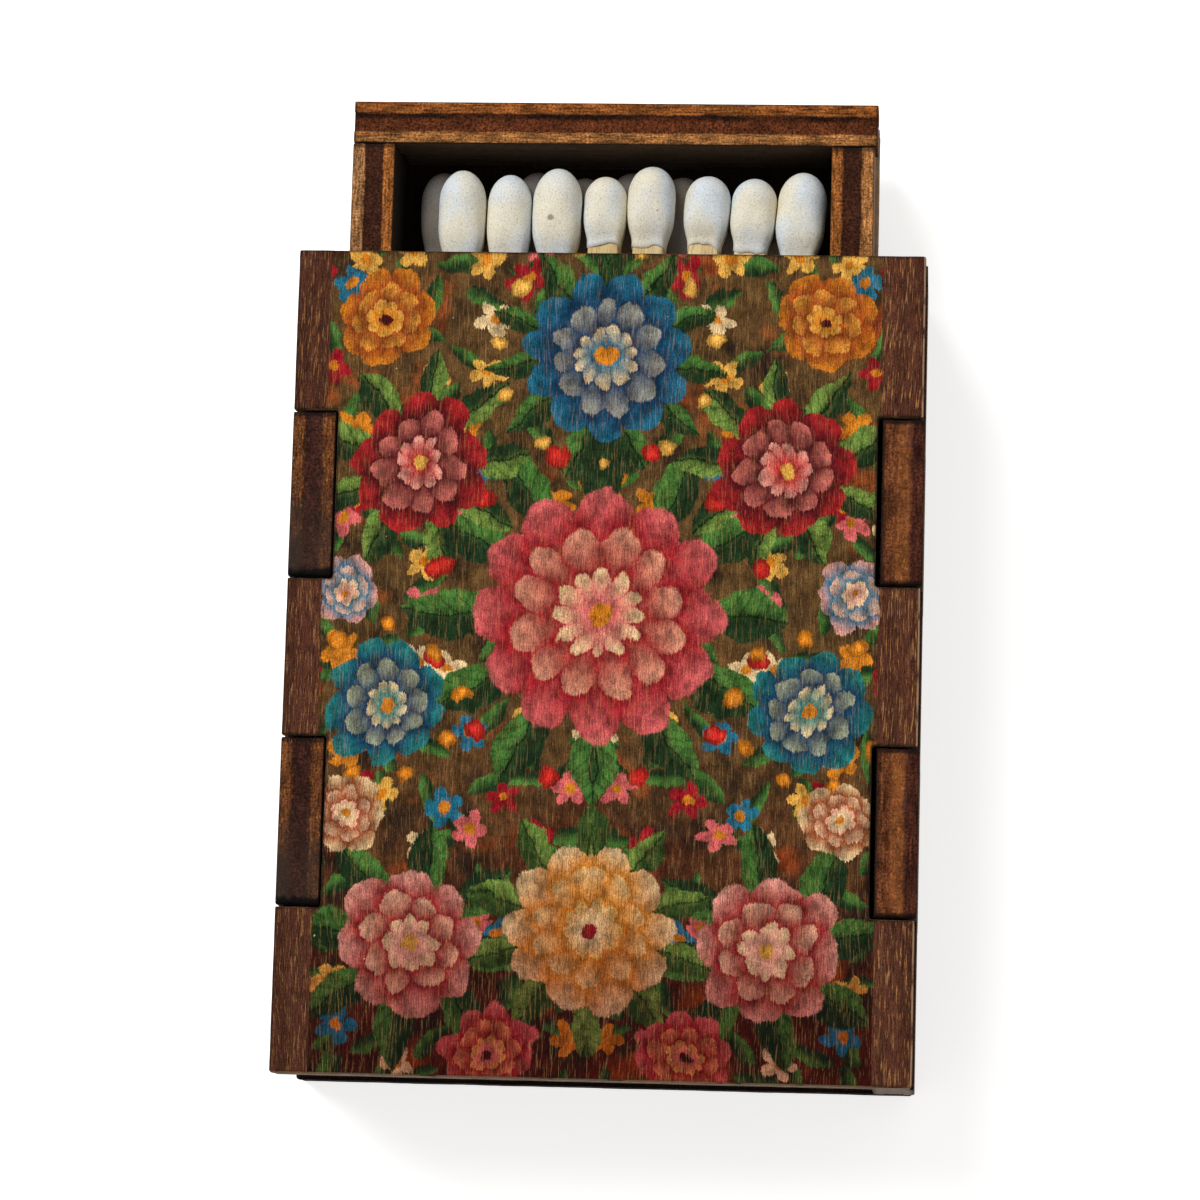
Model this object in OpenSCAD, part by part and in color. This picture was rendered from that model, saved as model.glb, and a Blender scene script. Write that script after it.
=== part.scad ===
// A plywood matchbox: a finger-jointed sleeve, a finger-jointed drawer that slides through it,
// a striking strip, and two layers of wooden matches lying in the drawer.
// X runs across the box, Y along the slide towards the open end of the drawer, Z up.
// The origin is the centre of the sleeve's lower face.

/* [Plywood] */
// Thickness of the three-ply sheet that every panel is cut from
ply_t = 3; // [2.4:0.1:3.6]
// Gap that the cut leaves at each face of a finger
kerf_gap = 0.12; // [0.05:0.01:0.2]
// Radius of the corners of the sleeve's top and base panels
panel_corner_r = 0.3; // [0.2:0.1:1]

/* [Fingers] */
// Length of the panel edge between a corner and the nearest tab
end_land_l = 11.5; // [8:0.1:14]
// Length of each tab along the slide
tab_l = 11.6; // [8:0.1:14]
// Width of the tab under the middle of each drawer plate
plate_tab_w = 12.4; // [8:0.2:16]

/* [Matches] */
// Number of matches in each of the two layers
layer_count = 8; // [4:1:10]
// Length of a match from its tip to its tail
match_l = 47.5; // [38:0.5:56]
// Width of the square stick
stick_w = 2.2; // [1.8:0.05:2.6]
// Width of the eased corner of the stick
stick_bevel = 0.3; // [0.25:0.05:0.4]
// Thickness of the head over the flats of the stick at the belly
belly_coat_t = 0.55; // [0.45:0.05:0.7]
// Thickness of the head over the flats of the stick behind the belly
neck_coat_t = 0.1; // [0.05:0.01:0.14]
// Thickness of the head in front of the stick's end
tip_coat_t = 1.4; // [1.2:0.1:1.8]
// Length of a match head
head_l = 5.8; // [4.6:0.1:6.4]
// Gap between neighbouring heads of a layer
head_gap = 0.1; // [0.05:0.05:0.15]
// Extra gap after the third match of each layer
layer_slack = 0.6; // [0:0.1:0.8]
// Gap between pieces that lie on each other
rest_gap = 0.05; // [0.02:0.01:0.06]
// Furthest that a match has slid back in the drawer
slid_back = 2.2; // [0.4:0.1:2.6]

/* [Drawer] */
// Room between the front plate and the foremost tips
tip_room = 0.9; // [0.5:0.1:1.4]
// Room between the tails of the rearmost matches and the rear plate
tail_room = 0.8; // [0.5:0.1:4]
// Room beside a layer, at both walls together
side_room = 3.15; // [2.6:0.05:5]
// Part of that room between the right wall and the upper layer
wall_room = 0.3; // [0.1:0.1:0.5]
// Room over the upper layer, up to the drawer's rim
rim_room = 0.38; // [0.3:0.01:2]
// How far the right wall stands in from the ends of the plates and the edge of the floor
right_wall_in = 0.25; // [0:0.05:0.4]
// How far the drawer is pushed out of the sleeve at rest
drawer_out = 11.55; // [0:0.05:30]

/* [Sleeve] */
// Gap between the drawer and each wall of the sleeve, when the drawer is centred
side_gap = 0.3; // [0.3:0.02:0.6]
// How far the drawer sits to the left in that gap
drawer_left = 0.25; // [0:0.01:0.29]
// How far the right wall stands out of the edges of the top and base panels
right_wall_out = 0.2; // [0:0.05:0.4]
// Gap over the drawer's rim
roof_gap = 0.2; // [0.1:0.05:0.4]
// Gap under the drawer's floor
floor_gap = 0.1; // [0.05:0.05:0.2]

/* [Striking strip] */
// Distance from the strip's edges to the top and base panels
strip_edge_margin = 0.5; // [0.2:0.1:1.5]
// Distance from the strip's ends to the ends of the sleeve
strip_end_margin = 1.5; // [0.5:0.5:4]
// Thickness of the strip
strip_t = 0.3; // [0.2:0.05:0.5]

/* [Hidden] */
$fn = 48;

// Shapes of the matches as shares, counted from the right wall
head_d = stick_w + 2 * belly_coat_t;
layer_rise_share = 0.9;
slack_after = 3;
belly_share = 0.35;
neck_taper_power = 2.5;
neck_start_share = 0.25;
profile_steps = 9;
upper_d_shares = [1.04, 0.97, 0.97, 1.02, 0.93, 1.06, 0.96, 1.02];
upper_l_shares = [1.08, 0.86, 0.85, 0.96, 0.83, 1.18, 1.1, 1.16];
upper_back_shares = [0.25, 0.45, 0.38, 0.1, 0.43, 0.2, 0.4, 0.28];
lower_d_shares = [0.98, 0.97, 1, 0.99, 0.97, 1, 0.96, 0.99];
lower_l_shares = [1.05, 1, 1.08, 1.02, 0.98, 1.06, 1, 1.04];
lower_back_shares = [1, 0.95, 0.13, 0, 0.18, 0, 0.9, 0.05];
closed_shares = [0.05, 0.15, 0.6, 0.9, 0.05, 0.05, 0.5, 0.3];

// Drawer, cut to hold two layers of matches and drawn from the centre of its lower face
well_w = layer_count * (head_d + head_gap) + layer_slack + side_room;
well_l = tip_room + slid_back + match_l + tail_room;
well_h = rest_gap + head_d * (1 + layer_rise_share) + rim_room;
drawer_w = well_w + 2 * ply_t + right_wall_in;
drawer_l = well_l + 2 * ply_t;
drawer_h = well_h + ply_t;
well_right = drawer_w / 2 - right_wall_in - ply_t;
drawer_place = [-drawer_left, drawer_out, ply_t + floor_gap];
corner_tab_share = 0.5;
corner_tab_h = well_h * corner_tab_share;

// Sleeve, cut to the drawer
wall_h = drawer_h + roof_gap + floor_gap;
wall_x = drawer_w / 2 + side_gap;
sleeve_w = 2 * (wall_x + ply_t);
sleeve_l = drawer_l;
sleeve_h = wall_h + 2 * ply_t;
tab_y = sleeve_l / 2 - end_land_l - tab_l / 2;

MATCHES = [for (layer = ["upper", "lower"]) for (n = [1 : layer_count]) [layer, n - 1, str(layer, "_match_", n)]];

// Colours
ply_colour = [0.55, 0.37, 0.22];
stained_colour = [0.36, 0.22, 0.15];
strip_colour = [0.24, 0.15, 0.12];
stick_colour = [0.85, 0.74, 0.52];
head_colour = [0.88, 0.86, 0.82];

// A panel lying flat, drawn about its centre, with its corners rounded
module panel_outline(w, l, r) {
    square([w - 2 * r, l], center = true);
    square([w, l - 2 * r], center = true);
    for (x = [-1, 1], y = [-1, 1])
        translate([x * (w / 2 - r), y * (l / 2 - r)]) circle(r);
}

// Depth of a notch for a wall's tab, on the left (-1) or right (1), where the right wall stands in by set_in
function notch_depth(side, set_in) = ply_t + kerf_gap + (side > 0 ? set_in : 0);

// Notches in both long edges of a panel w wide, two to an edge, for the tabs of the walls
module tab_notches(w, set_in) {
    for (x = [-1, 1], y = [-1, 1])
        translate([x * w / 2, y * tab_y])
            square([2 * notch_depth(x, set_in), tab_l + 2 * kerf_gap], center = true);
}

// A sheet cut to the outline of its children and laid flat
module flat_sheet() {
    linear_extrude(ply_t) children();
}

// A sheet that stands along the slide, from x towards +X, its outline drawn in Y and Z
module side_sheet(x) {
    translate([x, 0, 0]) rotate([90, 0, 90]) linear_extrude(ply_t) children();
}

// A sheet that stands across the slide, from y towards +Y, its outline drawn in X and Z
module cross_sheet(y) {
    translate([0, y + ply_t, 0]) rotate([90, 0, 0]) linear_extrude(ply_t) children();
}

module sleeve_panel() {
    flat_sheet() difference() {
        panel_outline(sleeve_w, sleeve_l, panel_corner_r);
        tab_notches(sleeve_w, 0);
    }
}

module sleeve_top_panel() {
    color(stained_colour) translate([0, 0, sleeve_h - ply_t]) sleeve_panel();
}

module sleeve_base_panel() {
    color(stained_colour) sleeve_panel();
}

// The wall stands between the panels, and its tabs run through both of them
module sleeve_wall(x) {
    color(ply_colour) side_sheet(x) {
        translate([-sleeve_l / 2, ply_t]) square([sleeve_l, wall_h]);
        for (y = [-1, 1])
            translate([y * tab_y - tab_l / 2, 0]) square([tab_l, sleeve_h]);
    }
}

module striking_strip() {
    color(strip_colour)
        translate([-sleeve_w / 2 - strip_t, strip_end_margin - sleeve_l / 2, ply_t + strip_edge_margin])
            cube([strip_t, sleeve_l - 2 * strip_end_margin, wall_h - 2 * strip_edge_margin]);
}

module drawer_floor() {
    color(ply_colour) translate(drawer_place) flat_sheet() difference() {
        square([drawer_w, drawer_l], center = true);
        tab_notches(drawer_w, right_wall_in);
        for (y = [-1, 1])
            translate([0, y * drawer_l / 2])
                square([plate_tab_w + 2 * kerf_gap, 2 * (ply_t + kerf_gap)], center = true);
    }
}

// The wall stands on the floor, with tabs down through the floor and out through the plates
module drawer_wall(x) {
    color(ply_colour) translate(drawer_place) side_sheet(x) {
        translate([-well_l / 2, ply_t]) square([well_l, well_h]);
        translate([-drawer_l / 2, ply_t]) square([drawer_l, corner_tab_h]);
        for (y = [-1, 1])
            translate([y * tab_y - tab_l / 2, 0]) square([tab_l, drawer_h]);
    }
}

// The plate closes an end of the drawer over its whole width, and one tab runs down through the floor
module drawer_plate(y) {
    color(ply_colour) translate(drawer_place) cross_sheet(y) {
        difference() {
            translate([-drawer_w / 2, ply_t]) square([drawer_w, well_h]);
            for (x = [-1, 1])
                translate([x * drawer_w / 2, ply_t])
                    square([2 * notch_depth(x, right_wall_in), 2 * (corner_tab_h + kerf_gap)], center = true);
        }
        translate([-plate_tab_w / 2, 0]) square([plate_tab_w, drawer_h]);
    }
}

// Diameter, length and distance slid back of one match head
function pick(shares, i) = shares[i % len(shares)];
function head_width(layer, i) = head_d * pick(layer == "upper" ? upper_d_shares : lower_d_shares, i);
function head_length(layer, i) = head_l * pick(layer == "upper" ? upper_l_shares : lower_l_shares, i);
function back(layer, i) = slid_back * pick(layer == "upper" ? upper_back_shares : lower_back_shares, i);

// Distance between the axes of upper matches i and i + 1
function upper_step(i) =
    (head_width("upper", i) + head_width("upper", i + 1)) / 2 + head_gap + (i + 1 == slack_after ? layer_slack : 0);

// Place of a match's axis across the drawer: lower matches lie under the valleys of the upper layer
function upper_x(i) =
    i == 0 ? well_right - wall_room - head_width("upper", 0) / 2 : upper_x(i - 1) - upper_step(i - 1);
function lower_x(i) = upper_x(i) - upper_step(min(i, layer_count - 2)) / 2;
function match_x(layer, i) = layer == "upper" ? upper_x(i) : lower_x(i);

// Height of the axis at the belly: an upper head rests on the one or two lower heads beside it
function lower_z(i) = ply_t + rest_gap + head_width("lower", i) / 2;
function seat_on(i, j) =
    let (reach = (head_width("upper", i) + head_width("lower", j)) / 2 + rest_gap)
    let (aside = upper_x(i) - lower_x(j))
    lower_z(j) + sqrt(reach * reach - aside * aside);
function upper_z(i) = max([for (j = [max(i - 1, 0) : i]) seat_on(i, j)]);
function match_z(layer, i) = layer == "upper" ? upper_z(i) : lower_z(i);

// Height of the axis at the tail, where each stick lies on the floor or on the sticks below it
function tail_z(layer) = ply_t + rest_gap + stick_w / 2 + (layer == "upper" ? stick_w + rest_gap : 0);

// Place of the tail across the drawer: neighbouring sticks have closed up there by a share of their gap
function tail_x(layer, i) = i == layer_count - 1 ? match_x(layer, i) :
    let (step = match_x(layer, i) - match_x(layer, i + 1))
    tail_x(layer, i + 1) + step - pick(closed_shares, i) * (step - stick_w - rest_gap);

// Outline of a stick's cross-section, a square of width w with eased corners
module stick_section(w) {
    intersection() {
        square(w, center = true);
        rotate(45) square(sqrt(2) * (w - stick_bevel), center = true);
    }
}

// A straight run of that cross-section along the match, between two distances behind the belly
module along_match(from, to) {
    rotate([90, 0, 0]) translate([0, 0, from]) linear_extrude(to - from) children();
}

// Half the outline of a head, as distances from its axis and behind its belly
function head_profile(r, front, rear) = let (neck_r = stick_w / 2 + neck_coat_t) concat(
    [for (k = [0 : profile_steps]) let (a = 90 * k / profile_steps) [r * sin(a), -front * cos(a)]],
    [for (k = [1 : profile_steps]) let (u = k / profile_steps)
        [neck_r + (r - neck_r) * (1 + cos(180 * pow(u, neck_taper_power))) / 2, rear * u]],
    [[0, rear]]
);

// Puts a match, drawn about its belly, where it lies in the drawer
module lay_match(layer, i) {
    front = head_length(layer, i) * belly_share;
    tilt = asin((match_z(layer, i) - tail_z(layer)) / (match_l - front));
    lean = -asin((match_x(layer, i) - tail_x(layer, i)) / (match_l - front));
    translate(drawer_place)
        translate([match_x(layer, i), well_l / 2 - tip_room - back(layer, i) - front, match_z(layer, i)])
            rotate([tilt, 0, lean]) children();
}

module match_stick(layer, i) {
    front = head_length(layer, i) * belly_share;
    color(stick_colour) lay_match(layer, i)
        along_match(tip_coat_t - front, match_l - front) stick_section(stick_w);
}

module match_head(layer, i) {
    front = head_length(layer, i) * belly_share;
    rear = head_length(layer, i) - front;
    color(head_colour) lay_match(layer, i) difference() {
        union() {
            rotate([90, 0, 0]) rotate_extrude()
                polygon(head_profile(head_width(layer, i) / 2, front, rear));
            along_match(rear * neck_start_share, rear) stick_section(stick_w + 2 * neck_coat_t);
        }
        along_match(tip_coat_t - front, match_l) stick_section(stick_w);
    }
}

sleeve_top_panel();
sleeve_base_panel();
sleeve_wall(-sleeve_w / 2);  // sleeve_left_wall
sleeve_wall(wall_x + right_wall_out);  // sleeve_right_wall
striking_strip();
drawer_floor();
drawer_wall(-drawer_w / 2);  // drawer_left_wall
drawer_wall(well_right);  // drawer_right_wall
drawer_plate(well_l / 2);  // drawer_front_plate
drawer_plate(-drawer_l / 2);  // drawer_rear_plate
for (m = MATCHES) {
    match_stick(m[0], m[1]);
    match_head(m[0], m[1]);
}
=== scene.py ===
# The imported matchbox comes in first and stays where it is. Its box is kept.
import math

import bmesh
import bpy
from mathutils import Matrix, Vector, noise


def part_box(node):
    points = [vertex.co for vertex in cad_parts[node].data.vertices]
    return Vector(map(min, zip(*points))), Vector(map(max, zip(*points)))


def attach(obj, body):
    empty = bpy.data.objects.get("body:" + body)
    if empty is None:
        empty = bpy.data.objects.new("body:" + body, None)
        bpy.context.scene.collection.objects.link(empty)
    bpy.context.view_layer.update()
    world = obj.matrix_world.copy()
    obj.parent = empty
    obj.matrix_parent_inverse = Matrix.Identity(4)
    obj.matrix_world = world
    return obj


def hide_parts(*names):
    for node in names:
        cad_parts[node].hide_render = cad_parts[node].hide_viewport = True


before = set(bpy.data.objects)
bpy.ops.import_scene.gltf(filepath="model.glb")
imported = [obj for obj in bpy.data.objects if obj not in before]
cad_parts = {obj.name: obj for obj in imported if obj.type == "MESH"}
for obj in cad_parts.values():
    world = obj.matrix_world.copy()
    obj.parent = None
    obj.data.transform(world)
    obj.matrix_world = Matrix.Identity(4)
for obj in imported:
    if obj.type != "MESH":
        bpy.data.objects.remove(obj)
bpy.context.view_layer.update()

mm = 0.001


# The camera hangs about 30 cm over the floor, past the lower right corner of the box, and looks
# almost straight down through a long lens.
def stand(name, data):
    """Puts a new object into the scene."""
    thing = bpy.data.objects.new(name, data)
    bpy.context.scene.collection.objects.link(thing)
    return thing


camera_data = bpy.data.cameras.new("camera")
camera_data.sensor_width = 36
camera_data.lens = 132.04
camera = stand("camera", camera_data)
camera.location = Vector((23.717, -38.627, 315.183)) * mm
camera.rotation_mode = "ZYX"
camera.rotation_euler = (0.14237, 0.07872, 0.01662)
bpy.context.scene.camera = camera
bpy.context.scene.view_settings.view_transform = "Standard"


# The box lies on a plain white floor in a white room, under one large soft lamp at the upper
# left. The floor and the room read white to the camera and in reflections.
def paint(red, green, blue):
    """A colour given on a 0 to 255 scale, as the shaders' linear numbers."""
    shares = [c / 255 for c in (red, green, blue)]
    return tuple(s / 12.92 if s < 0.04 else ((s + 0.055) / 1.055) ** 2.4 for s in shares) + (1.0,)


class Wire:
    """What a shader node gives. A sum with it adds the maths node that works the sum out."""

    def __init__(self, socket):
        self.socket = socket

    def __add__(self, other):
        return worked("ADD", self, other)

    def __sub__(self, other):
        return worked("SUBTRACT", self, other)

    def __rsub__(self, other):
        return worked("SUBTRACT", other, self)

    def __mul__(self, other):
        return worked("MULTIPLY", self, other)

    def __truediv__(self, other):
        return worked("DIVIDE", self, other)

    def __rtruediv__(self, other):
        return worked("DIVIDE", other, self)

    def __abs__(self):
        return worked("ABSOLUTE", self)


def plug(value, socket):
    """Links a wire to a socket, or sets the socket to a plain number or colour."""
    if isinstance(value, Wire):
        socket.id_data.links.new(value.socket, socket)
    else:
        socket.default_value = value


def fit(kind, given, tree=None, **settings):
    """Adds a shader node with its settings and inputs, in the tree that its wires come from."""
    tree = tree or next(value.socket.id_data for value in given.values() if isinstance(value, Wire))
    made = tree.nodes.new(kind)
    for setting, choice in settings.items():
        setattr(made, setting, choice)
    for socket, value in given.items():
        plug(value, made.inputs[socket])
    return made


def wire(kind, given, tree=None, output=0, **settings):
    """Adds a shader node, and returns one thing that it gives."""
    return Wire(fit(kind, given, tree, **settings).outputs[output])


def wires(node):
    """All that a node gives, by name."""
    return {socket.name: Wire(socket) for socket in node.outputs}


def worked(operation, *given):
    """A maths node: for points and colours where one is given, and otherwise for numbers."""
    many = any(isinstance(value, Wire) and value.socket.type != "VALUE" for value in given)
    kind = "ShaderNodeVectorMath" if many else "ShaderNodeMath"
    return wire(kind, dict(enumerate(given)), operation=operation)


def split(value):
    """The three parts of a point or a colour."""
    kind = "Color" if value.socket.type == "RGBA" else "XYZ"
    return [Wire(part) for part in fit("ShaderNodeSeparate" + kind, {0: value}).outputs]


def blend(share, under, over):
    """Lays one colour over another, by a share from 0 to 1."""
    return wire("ShaderNodeMix", {0: share, 6: under, 7: over}, output=2, data_type="RGBA")


def new_finish(name, shader_inputs):
    """A material with its shader in place, ready for the nodes that give it its look."""
    material = bpy.data.materials.new(name)
    material.use_nodes = True
    tree = material.node_tree
    tree.nodes.clear()
    shader = fit("ShaderNodeBsdfPrincipled", shader_inputs, tree)
    fit("ShaderNodeOutputMaterial", {"Surface": Wire(shader.outputs[0])})
    return material, tree, shader


def seen_rays(tree):
    """1 for rays from the camera, from mirrors and through glass, and 0 for rays that only light."""
    rays = wires(fit("ShaderNodeLightPath", {}, tree))
    shiny = worked("MAXIMUM", rays["Is Glossy Ray"], rays["Is Transmission Ray"])
    return worked("MAXIMUM", rays["Is Camera Ray"], shiny)


floor_size = 3.0
floor_mesh = bpy.data.meshes.new("floor")
floor_bm = bmesh.new()
bmesh.ops.create_grid(floor_bm, x_segments=8, y_segments=8, size=floor_size / 2)
bmesh.ops.translate(floor_bm, verts=floor_bm.verts, vec=(0, 0, -0.02 * mm))
floor_bm.to_mesh(floor_mesh)
floor_bm.free()
floor = stand("floor", floor_mesh)

floor_paint, tree, shader = new_finish(
    "floor paint", {"Base Color": paint(236, 236, 234), "Roughness": 0.9, "Emission Strength": 0.68})
dark_half_w, dark_half_l = 21.5 * mm, 28.0 * mm
x, y, z = split(wire("ShaderNodeNewGeometry", {}, tree, "Position"))
under_box = worked("LESS_THAN", abs(x), dark_half_w) * worked("LESS_THAN", abs(y), dark_half_l)
seen_floor = seen_rays(tree) * (1.0 - under_box)
plug(blend(seen_floor, (0, 0, 0, 1), (1, 1, 1, 1)), shader.inputs["Emission Color"])
floor.data.materials.append(floor_paint)

room = bpy.data.worlds.new("room")
bpy.context.scene.world = room
room.use_nodes = True
tree = room.node_tree
tree.nodes.clear()
room_light = wire("ShaderNodeBackground", {"Color": (1.0, 0.97, 0.93, 1), "Strength": 0.36}, tree)
room_seen = wire("ShaderNodeBackground", {"Color": (1, 1, 1, 1), "Strength": 1.0}, tree)
both = wire("ShaderNodeMixShader", {0: seen_rays(tree), 1: room_light, 2: room_seen})
fit("ShaderNodeOutputWorld", {"Surface": both})

lamp_data = bpy.data.lights.new("soft lamp", "AREA")
lamp_data.shape = "DISK"
lamp_data.size = 0.42
lamp_data.energy = 3.9
lamp_data.color = (0.97, 0.99, 1.0)
lamp = stand("soft lamp", lamp_data)
lamp.location = (-0.30, 0.34, 0.56)
lamp.rotation_mode = "QUATERNION"
lamp.rotation_quaternion = (-lamp.location).to_track_quat("-Z", "Y")


# The base panel is three-ply sheet, 3 mm thick, cut by laser. Two slots in each long edge take
# the tabs of the walls. It is stained brown, and the cut edges are scorched.
def corners_of(node):
    """A node's lowest and highest corners, in millimetres."""
    return [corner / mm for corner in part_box(node)]


low, high = corners_of("sleeve_base_panel")
ply = 3.0
glue_lines = (0.265, 0.735)
kerf = 0.12
end_land_l, tab_l = 11.5, 11.6
tab_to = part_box("sleeve_base_panel")[1].y / mm - end_land_l
tab_from = tab_to - tab_l
slot_from, slot_to = tab_from - kerf, tab_to + kerf
tabs = [(-tab_to, -tab_from), (tab_from, tab_to)]
slots = [(-slot_to, -slot_from), (slot_from, slot_to)]
sleeve_half_l, sleeve_half_w, slot_x = high.y, high.x, high.x - ply - kerf
slot_bend, tab_bend, sharp_bend, least_bend = 0.22, 0.26, 0.1, 0.012
panel_bends = (0.25, 0.12, 0.2, 0.32)
arc_steps = 5
point_gap = 0.5
grain_shift = 50


def steps(pairs, level, tip, bend):
    """Part of an outline, as (along, across, bend of the corner), that steps out to a tab's tip or
    in to a slot's end between each pair of places along it."""
    corners = []
    for start, end in pairs:
        corners += [(start, level, sharp_bend), (start, tip, bend)]
        corners += [(end, tip, bend), (end, level, sharp_bend)]
    return corners


def other_way(pairs):
    """The same pairs, met from the other end."""
    return [pair[::-1] for pair in pairs[::-1]]


def notched_panel(half_l, left, right, left_slot, right_slot, bends):
    """Outline of a panel with two slots in each long edge."""
    left_slots = steps(slots, left, left_slot, slot_bend)
    right_slots = steps(other_way(slots), right, right_slot, slot_bend)
    left_edge = [(-half_l, left, bends[0]), *left_slots, (half_l, left, bends[1])]
    return left_edge + [(half_l, right, bends[2]), *right_slots, (-half_l, right, bends[3])]


def cut_line(corners, inset):
    """Points round a sheet's outline, set in from the cut by `inset`, and how far each lies from a
    corner. Every inset has as many points."""
    arcs = []
    tips = [Vector(corner[:2]) for corner in corners]
    for i, corner in enumerate(corners):
        before, here, after = (tips[j % len(tips)] for j in (i - 1, i, i + 1))
        way_in, way_out = (here - before).normalized(), (after - here).normalized()
        inward = Vector((-way_in.y - way_out.y, way_in.x + way_out.x))
        outer = way_in.cross(way_out) > 0
        bend = max(corner[2] - inset, least_bend) if outer else corner[2] + inset
        tip = here + inset * inward
        centre = tip + inward * (bend if outer else -bend)
        start, end = tip - bend * way_in - centre, tip + bend * way_out - centre
        turns = [math.pi / 2 * k / arc_steps for k in range(arc_steps + 1)]
        arcs.append([centre + start * math.cos(a) + end * math.sin(a) for a in turns])
    points, away = [], []
    for i, arc in enumerate(arcs):
        points += arc
        away += [0.0] * len(arc)
        goal = arcs[(i + 1) % len(arcs)][0]
        run = (tips[(i + 1) % len(tips)] - tips[i]).length
        count = max(1, round(run / point_gap))
        for k in range(1, count):
            points.append(arc[-1].lerp(goal, k / count))
            away.append(min(k, count - k) * run / count)
    return points, away


def ply_profile(thick):
    """Inset, height and distance from the edge's rounding, up one face, the cut edge and the other."""
    inner, outer = (thick * share for share in glue_lines)
    lower = [(0.9, 0, 0.9), (0.3, 0, 0.3), (0.08, 0, 0.08), (0.022, 0.022, 0), (0, 0.08, -0.08)]
    core = [(0.035, inner + 0.03, -0.8), (0.035, outer - 0.03, -0.8)]
    edge = [(0, inner - 0.04, -0.7), *core, (0, outer + 0.04, -0.7)]
    return lower + edge + [(inset, thick - height, rim) for inset, height, rim in reversed(lower)]


def skin(name, bm, rings, sharp=None):
    """Skins rings of points to a closed solid, with hard edges where it turns by `sharp` degrees."""
    for low, high in zip(rings, rings[1:]):
        for k in range(len(low)):
            n = (k + 1) % len(low)
            bm.faces.new((low[k], low[n], high[n], high[k]))
    bm.faces.new(rings[0][::-1])
    bm.faces.new(rings[-1])
    bmesh.ops.recalc_face_normals(bm, faces=bm.faces)
    for face in bm.faces:
        face.smooth = True
    mesh = bpy.data.meshes.new(name)
    bm.to_mesh(mesh)
    bm.free()
    if sharp:
        mesh.set_sharp_from_angle(angle=math.radians(sharp))
    return stand(name, mesh)


def cut_sheet(name, corners, lay, profile, seed, uneven=0.03):
    """A cut sheet: its outline is in (along, across), and `lay` places (along, across, through). Each
    sheet's seed gives it edges and a stretch of grain of its own."""
    area = sum(a[0] * b[1] - b[0] * a[1] for a, b in zip(corners, corners[1:] + corners[:1]))
    corners = corners if area > 0 else corners[::-1]
    line, away = cut_line(corners, 0)
    inward = [(b - a) / 0.1 for a, b in zip(line, cut_line(corners, 0.1)[0])]
    bm = bmesh.new()
    place = bm.verts.layers.float_vector.new("place")
    rim = bm.verts.layers.float.new("rim")
    corner = bm.verts.layers.float.new("corner")
    rings = []
    for inset, height, edge in profile:
        ring = []
        for point, way, gone in zip(cut_line(corners, inset)[0], inward, away):
            slow = noise.noise(Vector((point.x * 0.35, point.y * 0.35, seed * 7.3)))
            quick = noise.noise(Vector((point.x * 1.9, point.y * 1.9, seed * 3.1 + height * 0.5)))
            rough = uneven * max(0.0, 0.45 + 0.6 * slow + 0.4 * quick) * (1 if inset < 0.5 else 0.3)
            point = point + way * rough
            vert = bm.verts.new(Vector(lay(point.x, point.y, height)) * mm)
            vert[place] = (point.x, point.y + grain_shift * seed, height)
            vert[rim] = edge
            vert[corner] = gone
            ring.append(vert)
        rings.append(ring)
    return skin(name, bm, rings, sharp=50)


def new_effect(name, given, gives):
    """An empty shader node group, with its named inputs and outputs listed by kind."""
    tree = bpy.data.node_groups.new(name, "ShaderNodeTree")
    for way, kinds in (("INPUT", given), ("OUTPUT", gives)):
        for kind, titles in kinds.items():
            for title in titles.split(", "):
                tree.interface.new_socket(name=title, in_out=way, socket_type="NodeSocket" + kind)
    given = wires(tree.nodes.new("NodeGroupInput"))
    return tree, given, tree.nodes.new("NodeGroupOutput").inputs


def use(effect, given):
    """Places an effect with its own values."""
    return wires(fit("ShaderNodeGroup", given, node_tree=effect))


def deliver(outputs, **made):
    """Plugs what was worked out into an effect's outputs."""
    for title, value in made.items():
        plug(value, outputs[title])


def mark(tree, name, output="Fac"):
    """What the mesh says of each point: its place on the sheet, or its distance from rim or corner."""
    return wire("ShaderNodeAttribute", {}, tree, output, attribute_name=name)


def brighten(colour, factor):
    colour = colour[:3] if isinstance(colour, tuple) else colour
    return wire("ShaderNodeVectorMath", {0: colour, "Scale": factor}, operation="SCALE")


def ease(value, start, end, low=0.0, high=1.0):
    """Goes smoothly from low to high as value goes from start to end."""
    given = {0: value, 1: start, 2: end, 3: low, 4: high}
    return wire("ShaderNodeMapRange", given, interpolation_type="SMOOTHSTEP")


def cloud(place, stretch, detail=2.0, roughness=0.55):
    """Uneven tone, 0 to 1, from a noise that is stretched along the sheet's axes."""
    stretch = stretch if isinstance(stretch, tuple) else (stretch,) * 3
    given = {"Vector": place * stretch, "Scale": 1.0, "Detail": detail, "Roughness": roughness}
    return wire("ShaderNodeTexNoise", given)


def close_finish(shader, colour, roughness, height, strength, distance, **way):
    """Plugs what was worked out into the shader. The height makes bumps of up to `distance` mm."""
    plug(colour, shader.inputs["Base Color"])
    plug(roughness, shader.inputs["Roughness"])
    given = {"Height": height, "Strength": strength, "Distance": distance * mm}
    plug(wire("ShaderNodeBump", given, **way), shader.inputs["Normal"])


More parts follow.
